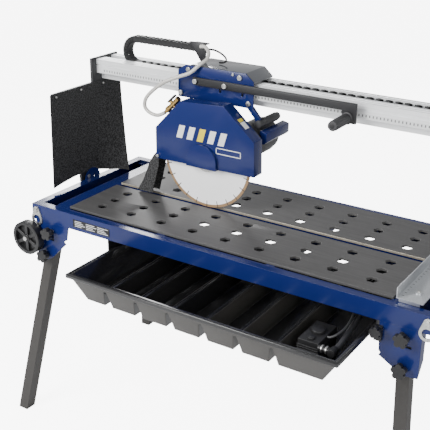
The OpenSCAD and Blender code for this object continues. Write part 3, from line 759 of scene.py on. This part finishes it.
@dataclass
class Stand:
    """Frame, plates, legs, knobs and wheels."""

    edge_reach: float = 0.02
    web_radius: float = 0.05
    web_half: float = 0.003
    plate_size: tuple[float, float] = (0.16, 0.028)

    def build(self) -> None:
        """Dresses the stand and adds its label plate, the painted shade in its slots and the wheel
        webs.
        """
        for node in ("frame_end_beams", "frame_long_beams", "frame_cross_members", "leg_brackets"):
            dress_nodes(BLUE, node)
        dress_nodes(BLUE, "tilt_ears")
        self.dress_plates()
        dress_nodes(ZINC, "lifting_eyes", "pivot_bolts")
        dress_nodes(BLACK_STEEL, "tray_rails")
        dress_nodes(BLACK_PLASTIC, "power_inlet")
        for node in frame["nodes"]:
            if node.startswith("leg_") and node != "leg_brackets":
                dress_nodes(DARK_TUBE, node)
            elif "knob" in node:
                dress(finished_copy(node, 0.002, 3), BLACK_PLASTIC)
            elif node.startswith("wheel"):
                dress(finished_copy(node, 0.002, 3), TYRE)
        self.add_label()
        self.add_slot_painted_shade()
        self.add_wheel_webs()

    def add_wheel_webs(self) -> None:
        """Closes each wheel behind its spokes with a thin web."""
        for wheel in (Body.WHEEL_FRONT, Body.WHEEL_REAR):
            at = mid(wheel.value)
            web = rod(wheel.value + "_web", (at.x, at.y - self.web_half, at.z),
                      (at.x, at.y + self.web_half, at.z), self.web_radius, 48, 0.0005)
            add(web, wheel, TYRE)

    def add_slot_painted_shade(self) -> None:
        """Backs the hook slots of the brackets with dark blocks: painted shade where the slots'
        recesses lie in shadow.
        """
        knobs = ("stay_knob_front_left", "stay_knob_front_right", "stay_knob_rear_left",
                 "stay_knob_rear_right")
        shade_blocks = []
        for node in knobs:
            at = mid(node)
            front = "front" in node
            face = low_face(front)
            away = 0.0065 if front else -0.0065
            y = sorted((face + away, face + away + (0.0015 if front else -0.0015)))
            # Each block is painted shade: a dark sheet standing for the shadow in the slot's recess, in
            # front of the blue bracket.
            shade_blocks.append(block("slot_shade_block", (at.x - 0.03, y[0], at.z - 0.045),
                                (at.x + 0.03, y[1], at.z - 0.012), 0.0003, 1))
        add(join("slot_painted_shade", shade_blocks), Body.STAND, BLACK_PLASTIC)

    def dress_plates(self) -> None:
        """Dresses the perforated plates, with bare metal along the blade gap."""
        plates = dress(finished_copy("table_plates", 0.0006, 1), PLATE)
        plates.data.materials.append(PLATE_EDGE.build())
        middle = mid("table_plates").y
        for face in plates.data.polygons:
            if abs(face.normal.z) < 0.9 and abs(face.center.y - middle) < self.edge_reach:
                face.material_index = len(plates.data.materials) - 1

    def add_label(self) -> None:
        """Screws a dark data plate with plain lines to the front beam."""
        low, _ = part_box("frame_long_beams")
        x, y, z = low.x + 0.186, low.y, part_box("frame_long_beams")[1].z - 0.031
        wide, tall = self.plate_size
        plate = block("data_plate", (x, y - 0.0012, z - tall / 2), (x + wide, y, z + tall / 2), 0.0004)
        add(plate, Body.STAND, BLACK_PLASTIC)
        lines = []
        for row in range(4):
            for column in range(3):
                length = 0.03 + 0.008 * ((row + column) % 3)
                at = x + 0.008 + column * 0.05
                height = z + 0.009 - row * 0.006
                lines.append(block("line", (at, y - 0.0016, height - 0.001),
                                   (at + length, y - 0.0011, height + 0.001), 0.0001, 1))
        add(join("data_plate_lines", lines), Body.STAND, WHITE_PRINT)


@dataclass
class WaterTray:
    """Pull-out tray with its pump and pump lines."""

    def build(self) -> None:
        """Dresses the tray, the pump and its lines."""
        self.paint_tray(finished_copy("water_tray", 0.003, 3))
        self.add_pump_details()
        dress(finished_copy("pump", 0.004, 3), BLACK_PLASTIC)
        dress_nodes(DARK_HOSE, "pump_hose", "pump_cable")
        dress_nodes(BLACK_PLASTIC, "pump_coupling")


    def paint_tray(self, tray: Piece) -> None:
        """Dresses the tray glossy black, with a duller skin on its outside walls.

        Args:
            tray: the tray's copy.
        """
        dress(tray, TRAY_PLASTIC)
        tray.data.materials.append(TRAY_SKIN.build())
        low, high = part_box("water_tray")
        centre = (low + high) / 2
        rim = high.z - 0.016
        for face in tray.data.polygons:
            away = face.center - centre
            outward = away.x * face.normal.x + away.y * face.normal.y > 0.02
            if face.center.z < rim and (outward or face.normal.z < -0.5):
                face.material_index = len(tray.data.materials) - 1

    def add_pump_details(self) -> None:
        """Gives the pump its intake ribs, dial and clamp."""
        low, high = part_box("pump")
        x0, x1 = low.x, low.x + 0.064
        ribs = []
        for row in range(7):
            z = low.z + 0.010 + row * 0.007
            ribs.append(block("rib", (x0 - 0.0025, low.y + 0.008, z),
                              (x1 + 0.0025, low.y + 0.118, z + 0.003), 0.0008, 1))
        ribs.append(rod("dial", (x0 + 0.032, low.y + 0.075, high.z - 0.002),
                        (x0 + 0.032, low.y + 0.075, high.z + 0.010), 0.021, 40, 0.003))
        ribs.append(rod("cap", (x0 + 0.032, low.y + 0.030, high.z - 0.002),
                        (x0 + 0.032, low.y + 0.030, high.z + 0.006), 0.012, 32, 0.002))
        add(join("pump_ribs", ribs), Body.TRAY, BLACK_PLASTIC)
        rings = [rod("clamp", (x, low.y + 0.014, high.z - 0.012),
                     (x + 0.005, low.y + 0.014, high.z - 0.012), 0.0125, 32, 0.0008)
                 for x in (x1 + 0.010, x1 + 0.024)]
        add(join("pump_clamps", rings), Body.TRAY, ZINC)


@dataclass
class Curtain:
    """Rubber curtain that hangs from its arm and folds in over the trough.

    Args:
        columns: cells across the sheet.
        rows: cells down the sheet.
        thickness: the sheet's thickness.
        fold_in: how far the rear bottom corner swings in.
        cut_area: flat area of the outline it was cut to, its two holes left out; not used.
    """

    columns: int = 44
    rows: int = 36
    thickness: float = 0.002
    fold_in: float = 0.085
    cut_area: float = 0.1337

    def surface(self, u: float, v: float) -> Vector:
        """A point of the sheet.

        Args:
            u: share of the width, from front to rear.
            v: share of the height, from top to bottom.

        Returns:
            The point in the frame.
        """
        low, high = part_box("splash_curtain")
        front = low.y + 0.010 * (1 - v)
        rear = high.y - 0.012 * (1 - v) - 0.018 * v
        y = front + (rear - front) * u
        wave = 0.016 * math.sin(math.pi * min(u / 0.75, 1.0)) - 0.01 * u * u
        bottom = low.z + wave * 0.9
        z = high.z + (bottom - high.z) * v
        start = 0.56
        turned = max(0.0, (u - start) / (1 - start))
        swing = turned ** 1.5 * v ** 1.3
        ripple = 0.003 * math.sin(9.0 * u + 1.3) * v * (1 - turned) * 0.4
        x = (low.x + high.x) / 2 + self.fold_in * swing - abs(ripple)
        return Vector((x, y - 0.062 * swing * turned, z))

    def build(self) -> None:
        """Makes the sheet."""
        deselect()
        bpy.ops.mesh.primitive_grid_add(x_subdivisions=self.columns, y_subdivisions=self.rows,
                                        size=1.0)
        sheet = bpy.context.object
        sheet.name = "splash_curtain_sheet"
        for vertex in sheet.data.vertices:
            vertex.co = self.surface(vertex.co.x + 0.5, 0.5 - vertex.co.y)
        settle(sheet)
        modify(sheet, "SOLIDIFY", thickness=self.thickness, offset=0.0)
        bpy.ops.object.shade_smooth_by_angle(angle=math.radians(50))
        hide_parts("splash_curtain")
        add(sheet, Body.BRIDGE, RUBBER)


@dataclass
class EnergyChain:
    """Links of the energy chain on both runs and round the bend.

    Args:
        pitch: length of a link's step.
        gap: space between two links.
        lower_share: part of the pitch that a link of the lower run fills.
        lower_stretch: the lower run's step, in pitches.
        bend_links: number of links round the bend.
    """

    pitch: float = 0.0165
    gap: float = 0.0022
    lower_share: float = 0.76
    lower_stretch: float = 1.9
    bend_links: int = 13

    def link(self, x: float, y_low: float, y_high: float, z_low: float,
             z_high: float) -> list[Piece]:
        """Side plates and two cross bars of one link.

        Args:
            x: where the link starts.
            y_low: its front.
            y_high: its back.
            z_low: its underside.
            z_high: its top.

        Returns:
            The link's pieces.
        """
        wall = 0.004
        reach = self.pitch - self.gap
        return [
            block("side", (x - 0.001, y_low, z_low + 0.001),
                  (x + reach + 0.001, y_low + wall, z_high - 0.001), 0.001, 1),
            block("side", (x - 0.001, y_high - wall, z_low + 0.001),
                  (x + reach + 0.001, y_high, z_high - 0.001), 0.001, 1),
            block("bar", (x + 0.003, y_low, z_high - wall),
                  (x + reach - 0.003, y_high, z_high), 0.0008, 1),
            block("bar", (x + 0.003, y_low, z_low),
                  (x + reach - 0.003, y_high, z_low + wall), 0.0008, 1),
        ]

    def run(self, node: str, share: float = 1.0) -> Piece:
        """Links along a straight run.

        Args:
            node: the CAD node whose box the run fills.
            share: part of the pitch that a link fills.

        Returns:
            The run's piece.
        """
        low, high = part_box(node)
        reach = self.pitch if share == 1.0 else self.pitch * self.lower_stretch
        count = int((high.x - low.x) / reach)
        step = (high.x - low.x) / count
        first = join("link", self.link(low.x + self.gap / 2, low.y, high.y, low.z, high.z))
        for vertex in first.data.vertices:
            vertex.co.x = low.x + (vertex.co.x - low.x) * share * step / self.pitch
        links = [first] + [duplicate(first, (step * k, 0, 0)) for k in range(1, count)]
        piece = join(node + "_links", links)
        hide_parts(node)
        return dress(piece, BLACK_PLASTIC)

    def bend(self) -> Piece:
        """Links round the half circle.

        Returns:
            The bend's piece.
        """
        low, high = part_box("chain_loop")
        centre = Vector((high.x, 0, (low.z + high.z) / 2))
        inner = (high.z - low.z) / 2 - (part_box("chain_upper")[1].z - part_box("chain_upper")[0].z)
        outer = (high.z - low.z) / 2
        count = self.bend_links
        first = join("link", self.link(centre.x - self.pitch / 2, low.y, high.y, centre.z + inner,
                                       centre.z + outer))
        links = []
        for k in range(count):
            twin = duplicate(first, (0, 0, 0))
            angle = -math.pi * (k + 0.5) / count
            turn = Matrix.Rotation(angle, 4, "Y") @ Matrix.Translation(-centre)
            twin.data.transform(Matrix.Translation(centre) @ turn)
            links.append(twin)
        bpy.data.objects.remove(first)
        piece = join("chain_loop_links", links)
        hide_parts("chain_loop")
        return add(piece, Body.CHAIN, BLACK_PLASTIC)

    def build(self) -> None:
        """Makes the two runs and the bend; the bend rides on the chain's body."""
        upper, lower = self.run("chain_upper"), self.run("chain_lower", self.lower_share)
        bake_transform(upper)
        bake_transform(lower)
        self.bend()


@dataclass
class Bridge:
    """Rail, end plates, ruler and curtain."""

    def build(self) -> None:
        """Dresses the rail and adds its printed ruler."""
        dress_nodes(ALUMINIUM, "rail")
        dress(finished_copy("end_plates", 0.0015), BLACK_STEEL)
        dress(finished_copy("curtain_arm", 0.001), BLACK_STEEL)
        self.add_ruler()
        self.add_rail_lines()
        self.add_screws()
        Curtain().build()
        EnergyChain().build()

    def add_ruler(self) -> None:
        """Lays a printed strip along the rail's front."""
        low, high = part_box("rail")
        z = low.z + 0.028
        strip = block("ruler_strip", (low.x + 0.03, low.y - 0.0005, z),
                      (high.x - 0.03, low.y + 0.0002, z + 0.016), 0.0001, 1)
        finish = TickFinish("ruler_print", (0.74, 0.75, 0.75), rough=(0.35, 0.45), edge=0.0001,
                            pitch=0.012, mark=(0.12, 0.12, 0.13), top=z + 0.0125, low=z + 0.005)
        add(strip, Body.BRIDGE, finish)

    def add_rail_lines(self) -> None:
        """Adds the raised lines of the extrusion on the rail's front and top."""
        low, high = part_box("rail")
        lines = []
        for y0, y1, z0, z1 in ((0.0, 0.003, -0.0192, -0.0180), (0.0, 0.003, -0.0102, -0.0092),
                               (0.012, 0.0135, -0.0004, 0.0012), (0.030, 0.0315, -0.0004, 0.0012),
                               (0.100, 0.1015, -0.0004, 0.0012)):
            lines.append(block("line", (low.x, low.y + y0 - 0.0008, high.z + z0),
                               (high.x, low.y + y1 - 0.0008, high.z + z1), 0.0003, 1))
        add(join("rail_lines", lines), Body.BRIDGE, ALUMINIUM)

    def add_screws(self) -> None:
        """Screws the curtain to its arm."""
        low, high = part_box("curtain_arm")
        sheet_low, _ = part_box("splash_curtain")
        screws = []
        for share in (0.02, 0.42, 0.8):
            y = low.y + 0.008 + share * 0.33
            screws.append(rod("screw", (sheet_low.x - 0.001, y, high.z - 0.012),
                              (sheet_low.x + 0.006, y, high.z - 0.012), 0.004, 20, 0.001))
        add(join("curtain_screws", screws), Body.BRIDGE, ZINC)


@dataclass
class Carriage:
    """Plate, cover, handle and cable on the rail."""

    def build(self) -> None:
        """Dresses the carriage's pieces."""
        dress(finished_copy("carriage_plate", 0.0012), BLUE)
        dress(finished_copy("carriage_cover", 0.0015), COVER)
        dress(finished_copy("carriage_bolts", 0.0015, 3), ZINC)
        dress_nodes(BLACK_PLASTIC, "glide_pads")
        dress_nodes(ZINC, "guide_rods")
        dress(finished_copy("chain_bracket", 0.001), BLACK_STEEL)
        dress(finished_copy("handle_arm", 0.0015), BLACK_STEEL)
        dress(finished_copy("handle_grip", 0.003, 3), GREY_PLASTIC)
        dress_nodes(BLACK_PLASTIC, "head_cable")
        self.add_grip_details()

    def add_grip_details(self) -> None:
        """Gives the push handle its ribs and end cap."""
        low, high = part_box("handle_grip")
        x, z = (low.x + high.x) / 2, (low.z + high.z) / 2
        radius = 0.016
        ribs = []
        for k in range(14):
            angle = 2 * math.pi * k / 14
            cx = x + (radius - 0.0006) * math.cos(angle)
            cz = z + (radius - 0.0006) * math.sin(angle)
            ribs.append(rod("rib", (cx, low.y + 0.006, cz), (cx, high.y - 0.012, cz), 0.0016, 10,
                            0.0004))
        add(join("grip_ribs", ribs), Body.CARRIAGE, GREY_PLASTIC)
        cap = rod("grip_cap", (x, low.y - 0.0006, z), (x, low.y + 0.001, z), 0.007, 32, 0.0004)
        add(cap, Body.CARRIAGE, BLACK_PLASTIC)


@dataclass
class SplashFlap:
    """Rubber flap round the blade at the guard's left end: two sides and a front edge.

    Args:
        rows: cells down the flap.
        thickness: the flap's thickness.
        cut: width and length it was cut to; not used.
        left_edge: its left side, in millimetres from the left, evenly spaced from top to bottom.
        right_edge: its right side, in the same way.
    """

    rows: int = 28
    thickness: float = 0.003
    cut: Sequence[float] = (0.135, 0.165)
    left_edge: Sequence[float] = (92, 74, 60, 51, 43, 34, 25, 14, 1)
    right_edge: Sequence[float] = (100, 101, 101, 98, 92, 87, 81, 75, 70)

    def follow(self, edge: Sequence[float], v: float) -> float:
        """Reads an edge's place at one height.

        Args:
            edge: places in millimetres from the left, evenly spaced from top to bottom.
            v: share of the height, from top to bottom.

        Returns:
            The place in millimetres.
        """
        at = v * (len(edge) - 1)
        first = min(int(at), len(edge) - 2)
        return edge[first] + (edge[first + 1] - edge[first]) * (at - first)

    def section(self, v: float) -> list[Vector]:
        """The flap's line at one height: a front wall, a rounded edge and a back wall.

        Args:
            v: share of the height, from top to bottom.

        Returns:
            Points from front right, round the left, to the back.
        """
        low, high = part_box("splash_flap")
        z = high.z + (low.z - high.z) * v
        left = low.x + 0.001 * self.follow(self.left_edge, v)
        right = low.x + 0.001 * self.follow(self.right_edge, v)
        half = (high.y - low.y) / 2
        middle = (high.y + low.y) / 2
        corner = 0.012
        points = [Vector((right, middle - half, z)), Vector(((right + left) / 2, middle - half, z)),
                  Vector((left + corner, middle - half, z))]
        for k in range(1, 8):
            a = math.pi / 2 * k / 8
            points.append(Vector((left + corner - corner * math.sin(a),
                                  middle - half + corner - corner * math.cos(a), z)))
        points += [Vector((left, middle, z))]
        mirrored = [Vector((p.x, 2 * middle - p.y, z)) for p in reversed(points[:-1])]
        return points + mirrored

    def build(self) -> None:
        """Makes the flap as a thin sheet."""
        build = bmesh.new()
        lines = [[build.verts.new(p) for p in self.section(k / self.rows)]
                 for k in range(self.rows + 1)]
        for first, second in zip(lines, lines[1:]):
            for k in range(len(first) - 1):
                build.faces.new((first[k], second[k], second[k + 1], first[k + 1]))
        mesh = bpy.data.meshes.new("splash_flap_sheet")
        build.to_mesh(mesh)
        build.free()
        piece = bpy.data.objects.new("splash_flap_sheet", mesh)
        bpy.context.collection.objects.link(piece)
        modify(piece, "SOLIDIFY", thickness=self.thickness, offset=0.0)
        bpy.ops.object.shade_smooth_by_angle(angle=math.radians(50))
        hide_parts("splash_flap")
        dress(piece, RUBBER)
        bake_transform(piece)


@dataclass
class Head:
    """Guard, blade, motor, valve and hose.

    Args:
        face_depth: from the blade's middle to the guard's front face.
        guard_reach: from the guard's left end to the middle of the table.
        hose_radius: the water hose's radius.
        hose_route: points along the hose, in millimetres from the middle of the table.
    """

    face_depth: float = 0.026
    guard_reach: float = 0.405
    hose_radius: float = 0.0065
    hose_route: Sequence[Point] = field(default_factory=lambda: (
        (-314, 118, 1357), (-292, 116, 1357), (-270, 102, 1342), (-263, 80, 1325), (-273, 56, 1312),
        (-303, 38, 1282), (-345, 28, 1264), (-392, 15, 1243), (-435, 5, 1210), (-464, 0, 1177),
        (-468, -2, 1147), (-446, -3, 1129), (-412, -3, 1125), (-380, -2.5, 1140)))

    def build(self) -> None:
        """Dresses the head and adds the guard's details."""
        dress(finished_copy("blade_guard", 0.003, 3), BLUE)
        dress(finished_copy("drive_housing", 0.002), BLUE)
        dress(finished_copy("switch_box", 0.002), BLUE)
        dress(finished_copy("motor", 0.004, 3), GREY_PLASTIC)
        dress(finished_copy("head_handle", 0.003, 3), GREY_PLASTIC)
        dress_nodes(BRASS, "valve_body")
        dress(finished_copy("valve_lever", 0.0015), BLACK_PLASTIC)
        dress_nodes(BLACK_PLASTIC, "drive_belt")
        dress_nodes(ZINC, "motor_pulley", "spindle")
        centre = tuple(mid("saw_blade"))
        dress_nodes(BladeFinish("blade_steel", (1.0, 1.0, 1.0), 0.0, 200.0, rough=(0.35, 0.45),
                                metallic=0.0, edge=0.0003, centre=centre), "saw_blade")
        self.add_guard_bolt()
        self.add_stripes()
        self.add_lozenge()
        self.add_label()
        self.add_hose()
        SplashFlap().build()

    def add_guard_bolt(self) -> None:
        """Puts the small bolt at the guard's lower left corner."""
        low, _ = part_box("blade_guard")
        front = mid("saw_blade").y - self.face_depth
        at = (low.x + 0.008, low.z + 0.010)
        bolt = rod("guard_bolt", (at[0], front - 0.006, at[1]), (at[0], front + 0.001, at[1]),
                   0.006, 24)
        add(bolt, Body.HEAD, ZINC)

    def add_stripes(self) -> None:
        """Prints plain slanted bars on the guard's front."""
        low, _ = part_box("blade_guard")
        front = mid("saw_blade").y - self.face_depth
        base = low.z + 0.092
        bars = []
        for k in range(5):
            bar = block("bar", (low.x + 0.088 + k * 0.042, front - 0.0004, base),
                        (low.x + 0.112 + k * 0.042, front, base + 0.046), 0.0001, 1)
            for vertex in bar.data.vertices:
                vertex.co.x += (vertex.co.z - base) * 0.3
            bars.append(bar)
        yellow = bars.pop(2)
        add(join("guard_bars", bars), Body.HEAD, WHITE_PRINT)
        yellow.name = "guard_bar_accent"
        add(yellow, Body.HEAD, YELLOW_PRINT)

    def add_lozenge(self) -> None:
        """Prints a plain outline under the bars."""
        low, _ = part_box("blade_guard")
        front = mid("saw_blade").y - self.face_depth
        x, z, wide, tall, line = low.x + 0.250, low.z + 0.062, 0.098, 0.022, 0.0028
        sides = []
        for corner, size in (((x, z), (wide, line)), ((x, z + tall - line), (wide, line)),
                             ((x, z), (line, tall)), ((x + wide - line, z), (line, tall))):
            sides.append(block("side", (corner[0], front - 0.0004, corner[1]),
                               (corner[0] + size[0], front, corner[1] + size[1]), 0.0001, 1))
        add(join("guard_outline_mark", sides), Body.HEAD, WHITE_PRINT)

    def add_label(self) -> None:
        """Sticks a plain two-colour label on the guard's right slope."""
        low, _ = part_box("blade_guard")
        y = mid("saw_blade").y
        start, end = Vector((-0.128, 0, 1.207)), Vector((-0.008, 0, 1.102))
        shift = Vector((low.x + self.guard_reach, 0, 0))
        along = (end - start).normalized()
        normal = Vector((-along.z, 0, along.x))
        pieces = []
        for first, last, name in ((0.062, 0.074, "yellow"), (0.076, 0.104, "white")):
            middle = start + shift + along * (first + last) / 2 + normal * 0.0004
            half = (last - first) / 2
            label = block(name, (-half, -0.012, -0.0003), (half, 0.012, 0.0003), 0.0001, 1)
            turn = Matrix((along, Vector((0, 1, 0)), normal)).transposed().to_4x4()
            label.data.transform(Matrix.Translation(middle + Vector((0, y, 0))) @ turn)
            pieces.append(label)
        pieces[0].name, pieces[1].name = "slope_label_band", "slope_label_field"
        add(pieces[0], Body.HEAD, YELLOW_PRINT)
        add(pieces[1], Body.HEAD, WHITE_PRINT)

    def add_hose(self) -> None:
        """Sweeps the braided hose from the chain bracket to the valve."""
        low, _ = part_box("blade_guard")
        shift = Vector((low.x + self.guard_reach, mid("saw_blade").y, 0))
        route = [tuple(Vector(p) / 1000 + shift) for p in self.hose_route]
        hose = tube("water_hose_braided", route, self.hose_radius, 20)
        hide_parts("water_hose")
        dress(hose, HOSE)
        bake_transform(hose)


@dataclass
class Fence:
    """Angle stop that slides on the plates.

    Args:
        marks: number of scale marks.
        pitch: distance between the marks.
        top: height of the foot's upper face.
    """

    marks: int = 24
    pitch: float = 0.02
    top: float = 0.8343

    def build(self) -> None:
        """Dresses the fence and adds its marks and clamp screw."""
        dress(finished_copy("fence", 0.0016), GALVANISED)
        low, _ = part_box("fence")
        marks = []
        for k in range(self.marks):
            y = low.y + 0.02 + k * self.pitch
            marks.append(block("mark", (low.x + 0.010, y, self.top - 0.0002),
                               (low.x + 0.016, y + 0.0016, self.top + 0.0003), 0.0001, 1))
        add(join("fence_marks", marks), Body.FENCE, BLACK_PLASTIC)
        seat = (low.x + 0.046, low.y + 0.0535)
        screw = rod("fence_screw", (*seat, self.top + 0.0058), (*seat, self.top + 0.0088),
                    0.0065, 6, 0.0008)
        add(screw, Body.FENCE, ZINC)


def main() -> None:
    """Builds the studio and the sub-assemblies in order."""
    logging.basicConfig(level=logging.INFO, format="%(name)s: %(message)s")
    makers: Sequence[Callable[[], None]] = (
        Studio().build, Stand().build, WaterTray().build, Bridge().build, Carriage().build,
        Head().build, Fence().build)
    for make in makers:
        make()
        LOG.info("built %s", type(make.__self__).__name__)


if __name__ == "__main__":
    main()
